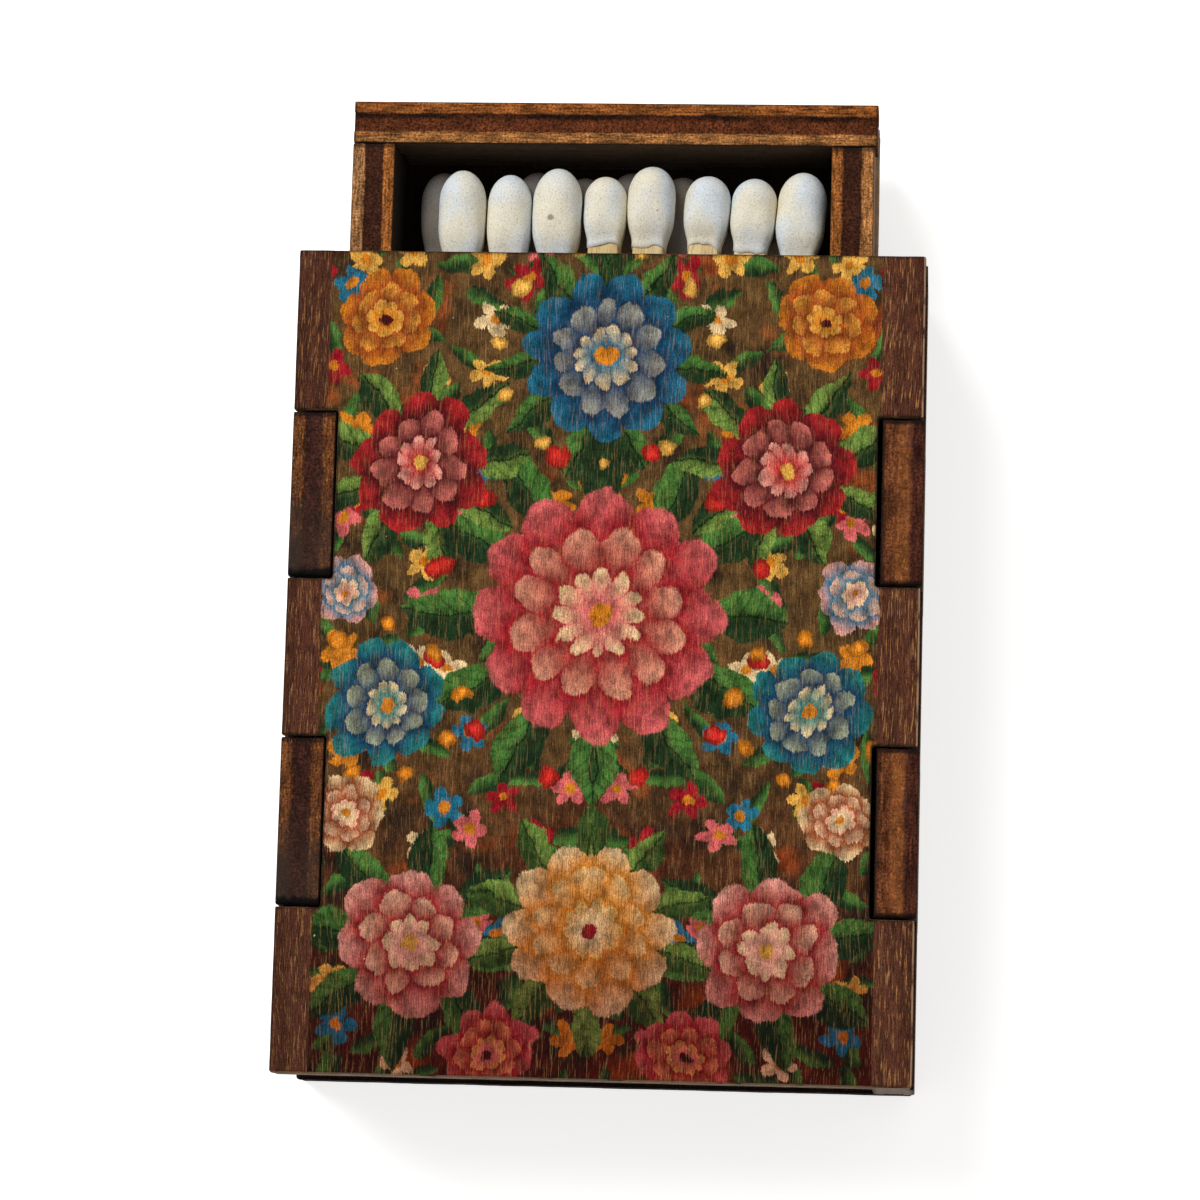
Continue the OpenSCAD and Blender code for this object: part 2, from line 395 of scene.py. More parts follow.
wood_grain, given, result = new_effect(
    "wood grain", {"Vector": "Place", "Float": "Wander"},
    {"Float": "Light, Dark, Tone, Strand, Fine, Height"})
drift = (cloud(given["Place"], (0.07, 0.16, 0.2), 1.0) - 0.5) * given["Wander"]
place = given["Place"] + wire("ShaderNodeCombineXYZ", {1: drift})
strand = cloud(place, (0.75, 12.5, 12.5), 2.0, 0.6)
dark = ease(cloud(place + (31.0, 17.0, 5.0), (1.1, 14.0, 14.0), 1.0, 0.5), 0.5, 0.66)
fine = cloud(place + (3.0, 57.0, 15.0), (7.0, 15.0, 15.0), 1.0, 0.5)
tone = ease(cloud(place, (0.06, 1.1, 0.9)), 0.3, 0.7)
deliver(result, Light=ease(strand, 0.54, 0.67), Dark=dark, Tone=tone, Strand=strand, Fine=fine,
        Height=strand * 0.7 - dark * 0.5)

cut_plies, given, result = new_effect(
    "cut plies",
    {"Vector": "Place", "Color": "Inner, Core, Char, Outer",
     "Float": "Inner Share, Core Share, Thickness, Soft, Band, Streaked"},
    {"Color": "Colour", "Float": "Height"})
place, core, char = given["Place"], given["Core"], given["Char"]
waver = (cloud(place, 0.45, 5.0, 0.66) - 0.5) * 0.13
share = split(place)[2] / given["Thickness"] + waver
past_inner = share - given["Inner Share"]
past_core = share - given["Core Share"]
blurred = given["Soft"] + 0.022
in_outer = ease(past_core, blurred * -1.0, blurred)
in_core = ease(past_inner, blurred * -1.0, blurred) * (1.0 - in_outer)
streak = cloud(place, (0.75, 0.75, 7.5), 2.5, 0.6)
speck = cloud(place, 6.5, 1.5, 0.6)
blot = cloud(place + (11.0, 3.0, 27.0), (4.2, 4.2, 6.0), 2.0, 0.6)
stria = cloud(place, (8.0, 8.0, 1.1), 1.5, 0.6)
patch = cloud(place, (0.6, 0.6, 1.2), 4.0, 0.6)
ply_colour = blend(in_outer, given["Inner"], given["Outer"])
ply_colour = brighten(ply_colour, ease(patch, 0.3, 0.68, 0.5, 1.2))
ply_colour = blend(ease(streak, 0.5, 0.36, 0.0, 0.85), ply_colour, brighten(ply_colour, 0.34))
ply_colour = blend(ease(streak, 0.53, 0.68, 0.0, 0.75), ply_colour, brighten(ply_colour, 1.8))
ply_colour = brighten(ply_colour, ease(speck, 0.3, 0.7, 0.4, 1.52))
ply_colour = brighten(ply_colour, ease(stria, 0.3, 0.7, 0.86, 1.12))
ends = blend(ease(blot, 0.46, 0.66, 0.0, 0.7), core, brighten(core, 2.1))
ends = blend(ease(speck, 0.56, 0.34, 0.0, 0.85), ends, char)
lengths = blend(ease(streak, 0.52, 0.7, 0.0, 0.6), core, brighten(core, 1.5))
lengths = blend(ease(blot, 0.52, 0.7, 0.0, 0.75), lengths, brighten(core, 2.1))
lengths = blend(ease(speck, 0.48, 0.34, 0.0, 0.7), lengths, char)
core_colour = blend(given["Streaked"], ends, lengths)
core_colour = brighten(core_colour, ease(patch, 0.32, 0.66, 0.62, 1.2))
core_colour = brighten(core_colour, ease(stria, 0.3, 0.7, 0.84, 1.14))
ragged_band = (blot - 0.5) * 0.16 + past_core
burnt = ease(ragged_band + given["Band"], -0.045, 0.05)
burnt = burnt * ease(cloud(place, (0.26, 0.26, 1.1), 4.0, 0.66), 0.36, 0.56, 0.3, 0.97)
core_colour = blend(burnt, core_colour, brighten(char, ease(speck, 0.36, 0.7, 0.4, 1.7)))
glue = ease(worked("MINIMUM", abs(past_inner), abs(past_core)), 0.03, 0.006, 0.0, 0.3)
lit_line = ease(abs(past_core - 0.035), 0.024, 0.006, 0.0, 0.45)
lit_line = lit_line * ease(patch, 0.42, 0.6) * ease(given["Soft"], 0.03, 0.01)
colour = blend(glue, blend(in_core, ply_colour, core_colour), char)
colour = blend(lit_line, colour, brighten(given["Outer"], 1.6))
deliver(result, Colour=colour, Height=speck * 0.8 + (streak * 0.5 + stria * 0.5))

edge_wear, given, result = new_effect(
    "edge wear", {"Vector": "Place", "Float": "Rim, Reach"}, {"Float": "Cut, Worn, Scorch"})
ragged = cloud(given["Place"], 1.3, 3.0, 0.65)
rough_rim = (ragged - 0.5) * 0.1 + given["Rim"]
worn = ease(abs(given["Rim"]), 0.1, 0.02) * ease(ragged, 0.44, 0.64)
scorch = ease(rough_rim / given["Reach"], 1.0, 0.1)
deliver(result, Cut=ease(rough_rim, 0.04, -0.04), Worn=worn, Scorch=scorch)


def ply_finish(name, stain, streak, pore, plies, wear, wear_share, inside="low", inner_shade=0.35,
               face=None, over=None, outlined=0.8):
    """Stained veneer on the faces and bare plies on the cut edges. Painted shade darkens the face on the
    inside, and a black line outlines the cut. `face` may lay a print over the veneer, and `over` may
    lay marks over everything."""
    material, tree, shader = new_finish(
        name, {"Specular IOR Level": 0.05, "Sheen Weight": 0.02, "Sheen Roughness": 0.35})
    place, rim = mark(tree, "place", "Vector"), mark(tree, "rim")
    grain = use(wood_grain, {"Place": place, "Wander": 1.2})
    wear_of = use(edge_wear, {"Place": place, "Rim": rim, "Reach": 0.3})
    veneer = brighten(stain, ease(grain["Tone"], 0, 1, 0.78, 1.2))
    veneer = blend(grain["Light"] * 0.74, veneer, streak)
    veneer = blend(grain["Dark"] * 0.72, veneer, pore)
    veneer = brighten(veneer, ease(grain["Fine"], 0.3, 0.7, 0.62, 1.38))
    # Painted shade: the face on the inside is darkened by inner_shade.
    shades = (inner_shade, 1.0) if inside == "low" else (1.0, inner_shade)
    veneer = brighten(veneer, ease(split(place)[2] - ply / 2, -0.1, 0.1, *shades))
    if face:
        veneer = face(place, veneer, grain)
    veneer = blend(wear_of["Scorch"] * 0.5, veneer, paint(22, 14, 11))
    edge = use(cut_plies, {"Place": place, "Thickness": ply, **plies})
    colour = blend(wear_of["Cut"], veneer, edge["Colour"])
    uneven = ease(cloud(place, 1.7, 3.0, 0.6), 0.3, 0.7, 0.07, 0.2)
    outline = ease(abs(rim), uneven, 0.02, 0.0, outlined)
    cut_end = ease(mark(tree, "corner"), 0.2, 0.0) * wear_of["Cut"]
    colour = blend(worked("MAXIMUM", outline, cut_end * 0.7), colour, paint(26, 18, 14))
    colour = blend(wear_of["Worn"] * wear_share, colour, wear)
    if over:
        colour = over(place, rim, colour)
    height = wire("ShaderNodeMix", {0: wear_of["Cut"], 2: grain["Height"], 3: edge["Height"]})
    close_finish(shader, colour, ease(grain["Height"], 0.1, 0.6, 0.8, 0.62), height, 0.55, 0.07)
    return material


def black_foot(place, rim, colour):
    """Black on the lower end: partly laser soot, partly painted shade at the sleeve's open lower end."""
    at_foot = ease(split(place)[0], 0.35 - sleeve_half_l, 0.1 - sleeve_half_l, 0.0, 0.9)
    # Painted shade and soot: the lower end turns black.
    return blend(at_foot, colour, paint(12, 10, 9))


sleeve_panel = notched_panel(sleeve_half_l, -sleeve_half_w, sleeve_half_w, -slot_x, slot_x, panel_bends)
base = cut_sheet("base_sheet", sleeve_panel, lambda a, c, t: (c, a, low.z + t), ply_profile(ply), 1)
base.data.materials.append(ply_finish(
    "stained base", paint(84, 52, 36), paint(142, 102, 66), paint(38, 22, 15),
    {"Inner": paint(110, 66, 38), "Core": paint(58, 29, 22), "Char": paint(28, 16, 14),
     "Outer": paint(104, 62, 36), "Inner Share": 0.27, "Core Share": 0.73},
    paint(150, 112, 78), 0.25, inside="high", over=black_foot))
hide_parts("sleeve_base_panel")
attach(base, "sleeve")


# The sleeve's walls stand between the panels, glued, with two tabs up and two down through the
# slots. The laser blackened each tab's lower end. The left wall stops a little short of the
# sleeve's lower end, and the right one is a little thinner.
def along_tab(place, ragged):
    """How far a place lies from the lower end of its tab, with a ragged front. Past a tab's ends it
    reads as the tab's middle, which bears no marks."""
    along = split(place)[0]
    along = along + tab_to - worked("GREATER_THAN", along, 0.0) * (tab_from + tab_to)
    off_tab = worked("GREATER_THAN", abs(along - tab_l / 2), tab_l / 2 + 0.6)
    along = wire("ShaderNodeMix", {0: off_tab, 2: along, 3: tab_l / 2})
    return (cloud(place, (0.9, 0.9, 2.0), 3.0, 0.6) - 0.5) * ragged + along


def yellow_flecks(place, rim, colour, where):
    """Short bright yellow flecks on the cut plies."""
    fleck = ease(cloud(place, (2.4, 2.4, 8.0), 2.0, 0.6), 0.6, 0.72, 0.0, 0.75)
    return blend(fleck * ease(rim, 0.0, -0.08) * where, colour, paint(186, 122, 52))


def left_tab_marks(place, rim, colour):
    """Soot on the left wall: grey black from the middle of a tab down, mostly on the outer ply, and a
    black lower end, which is partly painted shade of the gap under the tab. The wall's own lower end
    is black too."""
    share = split(place)[2] / ply
    outer, inner = ease(share, 0.6, 0.78), ease(share, 0.4, 0.22)
    colour = yellow_flecks(place, rim, colour, worked("MAXIMUM", outer, inner))
    on_cut = ease(rim, 0.5, 0.1)
    grey = ease(along_tab(place, 5.5), 7.6, 2.2) * on_cut
    colour = blend(grey * (outer * 0.6 + (inner * 0.3 + 0.3)), colour, paint(50, 42, 37))
    # Soot with painted shade of the gap at a tab's ends.
    along = along_tab(place, 0.7)
    black = worked("MAXIMUM", ease(along, 0.75, 0.3), ease(along, tab_l - 0.5, tab_l, 0.0, 0.55))
    return black_foot(place, rim, blend(black * on_cut, colour, paint(12, 9, 8)))


def right_tab_marks(place, rim, colour):
    """Soot on the right wall, with painted shade of the gap round the tab: along the side towards the
    print, and a little at both ends of a tab. The wall's lower end is painted pale grey, as a painted
    reflection of the white floor."""
    down_wall, across_wall, through = split(place)
    share = through / ply
    colour = yellow_flecks(place, rim, colour, ease(abs(share - 0.47), 0.2, 0.06))
    bruise = ease(cloud(place, (0.5, 0.5, 1.4), 4.0, 0.6), 0.52, 0.64)
    colour = blend(bruise * ease(abs(share - 0.62), 0.16, 0.04, 0.0, 0.6), colour, paint(70, 42, 44))
    # Soot and painted shade of the gap, along the side towards the print and at a tab's ends.
    side = ease(through, 0.42, 0.06, 0.0, 0.75)
    along = along_tab(place, 0.6)
    upper_end = ease(along, tab_l - 0.5, tab_l - 0.1, 0.0, 0.7)
    ends = worked("MAXIMUM", ease(along, 0.4, 0.12, 0.0, 0.75), upper_end)
    colour = blend(worked("MAXIMUM", side, ends) * ease(rim, 0.5, 0.1), colour, paint(22, 14, 12))
    # Painted reflection: the wall's lower end turns pale grey.
    grain = ease(cloud(place, 5.0, 2.0, 0.6), 0.35, 0.65, 0.5, 1.25)
    at_foot = ease(down_wall, 0.1 - sleeve_half_l, 0.03 - sleeve_half_l)
    at_foot = at_foot * ease(abs(rim), 0.06, 0.4, 0.1, 0.72)
    return blend(at_foot, colour, brighten(paint(166, 152, 136), grain))


low, high = corners_of("sleeve_left_wall")
wall_l, wall_low, wall_top = high.y, ply, high.z - ply
wall_outline = [(-wall_l, wall_low, sharp_bend), *steps(tabs, wall_low, low.z, tab_bend)]
wall_outline += [(wall_l, wall_low, sharp_bend), (wall_l, wall_top, sharp_bend)]
wall_outline += [*steps(other_way(tabs), wall_top, high.z, tab_bend), (-wall_l, wall_top, sharp_bend)]

wall_looks = {
    "left": {"Inner": paint(116, 68, 38), "Core": paint(64, 35, 27), "Char": paint(28, 15, 12),
             "Outer": paint(112, 66, 38), "Inner Share": 0.28, "Core Share": 0.72, "Soft": 0.025},
    "right": {"Inner": paint(112, 64, 37), "Core": paint(128, 75, 40), "Char": paint(80, 44, 29),
              "Outer": paint(76, 39, 27), "Inner Share": 0.32, "Core Share": 0.66, "Soft": 0.05,
              "Streaked": 1.0},
}
wall_marks = {"left": left_tab_marks, "right": right_tab_marks}
thinner = {"left": 0.0, "right": 0.1}
set_back = {"left": 0.45, "right": 0.0}
for number, (side, plies) in enumerate(wall_looks.items()):
    low, high = corners_of(f"sleeve_{side}_wall")
    inner_x, way = (high.x, -1) if side == "left" else (low.x, 1)
    outline = [(max(a, set_back[side] - wall_l), c, bend) for a, c, bend in wall_outline]
    wall = cut_sheet(
        f"{side}_sleeve_wall", outline, lambda a, c, t: (inner_x + way * t, a, c),
        ply_profile(high.x - low.x - thinner[side]), 2 + number)
    wall.data.materials.append(ply_finish(
        f"stained {side} sleeve wall", paint(78, 47, 33), paint(140, 98, 62), paint(34, 20, 14),
        plies, paint(150, 104, 62), 0.15, over=wall_marks[side]))
    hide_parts(f"sleeve_{side}_wall")
    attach(wall, "sleeve")


# The top panel has the base panel's outline. A generic ornament of medallions, leaves and berries
# is printed on the stained veneer, between two bare margins, and the grain shows through the ink.
full_turn = 2 * math.pi


def point_at(x, y):
    """A flat point from its two parts."""
    return wire("ShaderNodeCombineXYZ", {0: x, 1: y})


def length_of(point):
    return wire("ShaderNodeVectorMath", {0: point}, output="Value", operation="LENGTH")


def on_sheet(place, seed):
    """How far along and across a sheet a place lies, from the sheet's middle."""
    along, across, through = split(place)
    return along, across - grain_shift * seed


turned_round, given, result = new_effect(
    "turned round", {"Vector": "Point, Centre", "Float": "Count, Turn"}, {"Float": "Reach, Out, Side, Spin"})
x, y, z = split(given["Point"] - given["Centre"])
reach = worked("SQRT", x * x + y * y)
angle = worked("ARCTAN2", y, x) / full_turn
spin = worked("FRACT", angle * given["Count"] + given["Turn"]) - 0.5
folded = spin * full_turn / given["Count"]
deliver(result, Reach=reach, Spin=spin)
deliver(result, Out=reach * worked("COSINE", folded), Side=reach * worked("SINE", folded))


def new_ornament(name, numbers, colours):
    """An effect that repeats round a centre, with where a point lies on the repeat it falls in."""
    effect, given, result = new_effect(
        name, {"Vector": "Point, Centre", "Float": "Count, Turn, " + numbers, "Color": colours},
        {"Color": "Colour", "Float": "Mask"})
    fold = use(turned_round, {title: given[title] for title in ("Point", "Centre", "Count", "Turn")})
    return effect, given, result, fold


def between(value, start, end):
    """Where value lies between two edges, from 0 to 1."""
    return wire("ShaderNodeMapRange", {0: value, 1: start, 2: end})


def within(reach, edge):
    """1 inside an edge of a medallion and 0 outside it."""
    return ease(edge - reach, -0.008, 0.018)


medallion, given, result, fold = new_ornament("medallion", "Radius", "Rim, Petal, Heart, Eye")
reach = fold["Reach"] / given["Radius"]
crest = worked("POWER", abs(worked("COSINE", fold["Spin"] * math.pi)), 0.6)
seam = worked("POWER", abs(worked("SINE", fold["Spin"] * math.pi)), 0.6)
outer_edge = crest * 0.2 + 0.8
middle_edge = seam * 0.17 + 0.52
inner_edge = crest * 0.11 + 0.26
eye_edge = 0.11
colour = blend(between(reach, middle_edge, outer_edge) * crest, given["Rim"], given["Petal"])
paler = blend(0.4, given["Petal"], given["Heart"])
middle_row = blend(between(reach, inner_edge, middle_edge) * seam, given["Rim"], paler)
colour = blend(within(reach, middle_edge), colour, middle_row)
inner_row = blend(between(reach, eye_edge, inner_edge) * crest, given["Petal"], given["Heart"])
colour = blend(within(reach, inner_edge), colour, inner_row)
colour = blend(within(reach, eye_edge), colour, given["Eye"])
deliver(result, Colour=colour, Mask=within(reach, outer_edge))

leaf_ring, given, result, fold = new_ornament("leaf ring", "From, To, Width", "Bright, Deep")
length = (fold["Out"] - given["From"]) / (given["To"] - given["From"])
half_width = length * (1.0 - length) * 4.0 * given["Width"] * 0.5
off_vein = abs(fold["Side"])
rib = worked("FRACT", (off_vein * -0.9 + fold["Out"]) * 1.1)
rib = ease(abs(rib - 0.5), 0.02, 0.16, 0.5, 0.0)
colour = blend(ease(fold["Side"], -0.5, 0.7), given["Deep"], given["Bright"])
colour = blend(worked("MAXIMUM", ease(off_vein, 0.12, 0.04), rib), colour, brighten(given["Deep"], 0.6))
deliver(result, Colour=colour, Mask=ease(half_width - off_vein, -0.03, 0.08))

berry_ring, given, result, fold = new_ornament("berry ring", "Ring, Size", "Berry")
away = length_of(point_at(fold["Out"] - given["Ring"], fold["Side"])) / given["Size"]
colour = brighten(given["Berry"], ease(away, 0.1, 1.0, 1.5, 0.55))
deliver(result, Colour=colour, Mask=ease(away, 1.04, 0.92))

scatter, given, result = new_effect(
    "scattered leaves and stars",
    {"Vector": "Point", "Float": "Spacing, Leaf Length, Leaf Width, Star Size, Star Count"},
    {"Float": "Leaf, Shade, Star, Heart, Pick"})
scaled = brighten(given["Point"], 1.0 / given["Spacing"])
cell_given = {"Vector": scaled, "Scale": 1.0, "Randomness": 0.8}
cell = wires(fit("ShaderNodeTexVoronoi", cell_given, voronoi_dimensions="2D"))
lean, star_turn, pick = split(cell["Color"])
lean_given = {"Vector": brighten(scaled - cell["Position"], given["Spacing"]), "Angle": lean * full_turn}
leaned = wire("ShaderNodeVectorRotate", lean_given, rotation_type="Z_AXIS")
x, y, z = split(leaned)
long_way = x / given["Leaf Length"]
half_width = (1.0 - long_way * long_way) * given["Leaf Width"]
fold = use(turned_round, {"Point": leaned, "Count": given["Star Count"], "Turn": star_turn})
points = abs(worked("COSINE", fold["Spin"] * math.pi))
star_edge = (points * 0.5 + 0.5) * given["Star Size"]
deliver(result, Leaf=ease(half_width - abs(y), -0.03, 0.07), Shade=ease(y, -0.3, 0.4), Pick=pick,
        Star=ease(star_edge - fold["Reach"], -0.03, 0.07),
        Heart=ease(given["Star Size"] * 0.3 - fold["Reach"], -0.03, 0.07))

crimson, rose, blush = paint(158, 26, 42), paint(222, 112, 118), paint(238, 178, 168)
burgundy, rust, honey = paint(82, 20, 30), paint(158, 74, 32), paint(232, 186, 88)
cream, amber = paint(236, 218, 172), paint(214, 138, 38)
navy, azure, teal, forest = paint(22, 62, 104), paint(34, 122, 160), paint(40, 142, 146), paint(30, 58, 34)
leaf_green, fresh_green, olive = paint(76, 132, 62), paint(118, 160, 76), paint(102, 80, 48)


def set_out(effect, looks, rows):
    """Ornaments of one kind. A row has the centre, the count round it, the turn and then the looks."""
    titles = ["Count", "Turn", *looks.split(", ")]
    return [(effect, {"Centre": (x, y, 0.0), **dict(zip(titles, rest))}) for x, y, *rest in rows]


ornaments = set_out(leaf_ring, "From, To, Width, Bright, Deep", [
    (0, 3.2, 12, 0.5, 7.0, 13.4, 3.3, leaf_green, forest),
    (12.6, 13.6, 9, 0.1, 3.2, 8.0, 2.3, fresh_green, forest),
    (12.2, -19.6, 8, 0.3, 3.0, 8.6, 2.8, leaf_green, forest),
    (0, -18.4, 10, 0.0, 4.0, 8.8, 2.2, fresh_green, paint(52, 84, 40)),
    (0, 21.4, 11, 0.75, 4.0, 8.6, 2.0, leaf_green, forest),
])
ornaments += set_out(berry_ring, "Ring, Size, Berry", [
    (0, 3.2, 12, 0.0, 11.6, 0.75, paint(196, 44, 40)),
    (14.6, -3.2, 9, 0.2, 5.2, 0.6, amber),
    (0, 21.4, 11, 0.25, 7.6, 0.55, honey),
])
ornaments += set_out(medallion, "Radius, Rim, Petal, Heart, Eye", [
    (15.4, 24.0, 7, 0.2, 3.5, rust, amber, honey, burgundy),
    (17.6, 4.6, 6, 0.4, 2.5, azure, blush, cream, amber),
    (6.7, -27.0, 8, 0.3, 3.2, crimson, rose, honey, burgundy),
    (17.0, -10.8, 7, 0.0, 2.9, rust, cream, blush, amber),
    (0, 21.4, 11, 0.25, 6.0, navy, azure, cream, amber),
    (0, -18.4, 10, 0.5, 5.9, amber, cream, honey, crimson),
    (12.6, 13.6, 9, 0.35, 4.9, burgundy, paint(190, 44, 50), blush, honey),
    (14.6, -3.2, 9, 0.7, 4.3, navy, teal, cream, amber),
    (12.2, -19.6, 8, 0.6, 5.2, crimson, blush, cream, honey),
    (0, 3.2, 12, 0.5, 8.9, crimson, rose, cream, amber),
])
small_leaves = {"Spacing": 3.4, "Leaf Length": 1.9, "Leaf Width": 0.62, "Star Size": 1.0, "Star Count": 6.0}
small_stars = {"Spacing": 4.3, "Leaf Length": 1.2, "Leaf Width": 0.4, "Star Size": 1.35, "Star Count": 5.0}
star_shades = [cream, azure, amber, rose, crimson, honey]
print_middle, print_skew = -0.25, 0.0061
left_margin, right_margin = 2.3, 2.95
top_seed = 4


def print_over(place, veneer, grain):
    """Lays the ink over the veneer: dark mottled ground, small leaves and stars, then the ornaments."""
    along, across = on_sheet(place, top_seed)
    flat = point_at(across, along)
    mirrored = point_at(abs(across - print_middle), along)
    for size, amount in ((0.17, 1.5), (0.62, 0.6), (1.9, 0.22), (6.0, 0.16)):
        given = {"Vector": flat, "Scale": size, "Detail": 1.0}
        push = wire("ShaderNodeTexNoise", given, output=1, noise_dimensions="2D")
        mirrored = mirrored + brighten(push - (0.5, 0.5, 0.5), amount)
    mirrored = mirrored + point_at(0.0, (grain["Strand"] - 0.5) * 0.6)
    mottle = cloud(flat, (0.16, 0.13, 1.0), 4.0, 0.6)
    ground = blend(ease(mottle * 26.0 + along, 12.0, -12.0), olive, paint(82, 32, 26))
    ground = blend(ease(cloud(flat, (0.3, 0.22, 1.0), 3.0), 0.46, 0.7), ground, paint(44, 34, 29))
    rusty = cloud(flat + (40.0, 9.0, 0.0), (0.2, 0.2, 1.0), 3.0)
    ground = blend(ease(rusty, 0.56, 0.7, 0.0, 0.7), ground, rust)
    leaves = use(scatter, {"Point": mirrored, **small_leaves})
    colour = blend(leaves["Leaf"], ground, blend(leaves["Shade"], forest, leaf_green))
    stars = use(scatter, {"Point": mirrored + (70.3, 41.0, 0.0), **small_stars})
    palette = fit("ShaderNodeValToRGB", {0: stars["Pick"]})
    stops = palette.color_ramp.elements
    palette.color_ramp.interpolation = "CONSTANT"
    for n, shade in enumerate(star_shades):
        stop = stops[0] if n == 0 else stops.new(n / len(star_shades))
        stop.color = shade
    colour = blend(stars["Star"], colour, Wire(palette.outputs[0]))
    colour = blend(stars["Heart"], colour, amber)
    for effect, looks in ornaments:
        made = use(effect, {"Point": mirrored, **looks})
        colour = blend(made["Mask"], colour, made["Colour"])
    colour = brighten(colour, ease(cloud(flat, (1.0, 0.75, 1.0), 4.0, 0.65), 0.28, 0.72, 0.42, 1.3))
    foot = ease(mottle * 14.0 + along, -3.0, -19.0)
    colour = colour * blend(foot, (1.08, 0.9, 0.78, 1), (0.5, 0.27, 0.25, 1))
    colour = blend(grain["Dark"] * 0.6, colour, brighten(colour, 0.3))
    lifted = blend(0.45, brighten(colour, 1.7), paint(176, 134, 82))
    colour = blend(grain["Light"] * 0.6, colour, lifted)
    colour = brighten(colour, ease(grain["Fine"], 0.3, 0.7, 0.66, 1.34))
    bare_dot = ease(cloud(flat, (2.6, 2.2, 1.0), 1.0, 0.5), 0.79, 0.83, 0.0, 0.8)
    colour = blend(bare_dot, colour, paint(222, 186, 116))
    skew = (sleeve_half_l - along) * print_skew
    past_left = across + (sleeve_half_w - left_margin) - skew
    past_right = skew * 0.6 + (sleeve_half_w - right_margin) - across
    inked = worked("MINIMUM", past_left, past_right) + (grain["Height"] - 0.3) * 0.3
    margin = brighten(veneer, ease(across, -16.0, 16.0, 0.92, 1.04))
    bright_streak = ease(grain["Strand"], 0.62, 0.7) * ease(across, 5.0, 17.0, 0.0, 0.35)
    margin = blend(bright_streak, margin, paint(208, 152, 98))
    return blend(ease(inked, -0.04, 0.05), margin, colour)


def painted_edge_highlights(place, rim, colour):
    """Painted highlights: a pale line along the right and lower edges of the face, and a painted pale
    grey reflection on the cut at the lower end.
    """
    along, across = on_sheet(place, top_seed)
    # Painted highlight along the right and lower edges of the face.
    right_highlight = ease(across, sleeve_half_w - 0.2, sleeve_half_w - 0.12, 0.0, 0.95)
    at_foot = ease(along, 0.2 - sleeve_half_l, 0.05 - sleeve_half_l, 0.0, 0.42)
    highlight_patch = ease(cloud(place, (0.5, 0.5, 2.0), 3.0), 0.3, 0.5) * ease(abs(rim - 0.07), 0.1, 0.03)
    colour = blend(worked("MAXIMUM", right_highlight, at_foot) * highlight_patch, colour, paint(178, 140, 108))
    # Painted reflection: the cut at the lower end turns pale grey.
    end_reflection = ease(along, 0.1 - sleeve_half_l, 0.03 - sleeve_half_l) * ease(rim, 0.02, -0.06, 0.0, 0.74)
    streaks = ease(cloud(place, (0.8, 0.8, 7.0), 3.0, 0.62), 0.32, 0.68, 0.45, 1.3)
    return blend(end_reflection, colour, brighten(paint(170, 152, 136), streaks))


low, high = corners_of("sleeve_top_panel")
top = cut_sheet("top_sheet", sleeve_panel, lambda a, c, t: (c, a, low.z + t), ply_profile(ply), top_seed)
top.data.materials.append(ply_finish(
    "printed top", paint(87, 50, 36), paint(176, 122, 74), paint(36, 20, 14),
    {"Inner": paint(100, 64, 42), "Core": paint(72, 44, 32), "Char": paint(32, 19, 14),
     "Outer": paint(130, 94, 66), "Inner Share": 0.27, "Core Share": 0.73},
    paint(150, 118, 80), 0.22, face=print_over, over=painted_edge_highlights))
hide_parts("sleeve_top_panel")
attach(top, "sleeve")


# The striking strip is paper with a brown grit coat, glued to the outside of the left wall. It is
# out of sight in the photograph, and shows the streaks that a few matches have left.
strip_profile = [
    (0.5, 0, 0.5), (0.12, 0, 0.1), (0.02, 0.03, 0), (0, 0.12, -0.1),
    (0.01, 0.22, -0.1), (0.05, 0.28, 0), (0.14, 0.3, 0.12), (0.5, 0.3, 0.5)]
low, high = corners_of("striking_strip")
strip_corners = ((low.y, low.z), (high.y, low.z), (high.y, high.z), (low.y, high.z))
strip_outline = [(a, c, 0.5) for a, c in strip_corners]
strip = cut_sheet("striking_sheet", strip_outline, lambda a, c, t: (high.x - t, a, c), strip_profile, 5, 0.05)
grit, tree, shader = new_finish("striking grit", {"Specular IOR Level": 0.3})
place, rim = mark(tree, "place", "Vector"), mark(tree, "rim")
grains = wires(fit("ShaderNodeTexVoronoi", {"Vector": place, "Scale": 5.5}))
sparkle = ease(split(grains["Color"])[0], 0.7, 0.95)
smear = ease(cloud(place, (0.09, 2.2, 1.0), 3.0, 0.6), 0.54, 0.68)
patchy = ease(cloud(place, (0.25, 0.4, 1.0), 3.0), 0.35, 0.65)
colour = blend(patchy, paint(58, 34, 28), paint(74, 44, 34))
colour = blend(sparkle * 0.45, colour, paint(118, 84, 68))
colour = blend(smear * 0.6, colour, paint(138, 112, 96))
wear_of = use(edge_wear, {"Place": place, "Rim": rim, "Reach": 0.5})
colour = blend(wear_of["Worn"] * 0.7, colour, paint(168, 150, 128))
close_finish(shader, colour, ease(smear, 0.0, 1.0, 0.92, 0.7), grains["Distance"], 0.7, 0.06, invert=True)
strip.data.materials.append(grit)
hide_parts("striking_strip")
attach(strip, "sleeve")


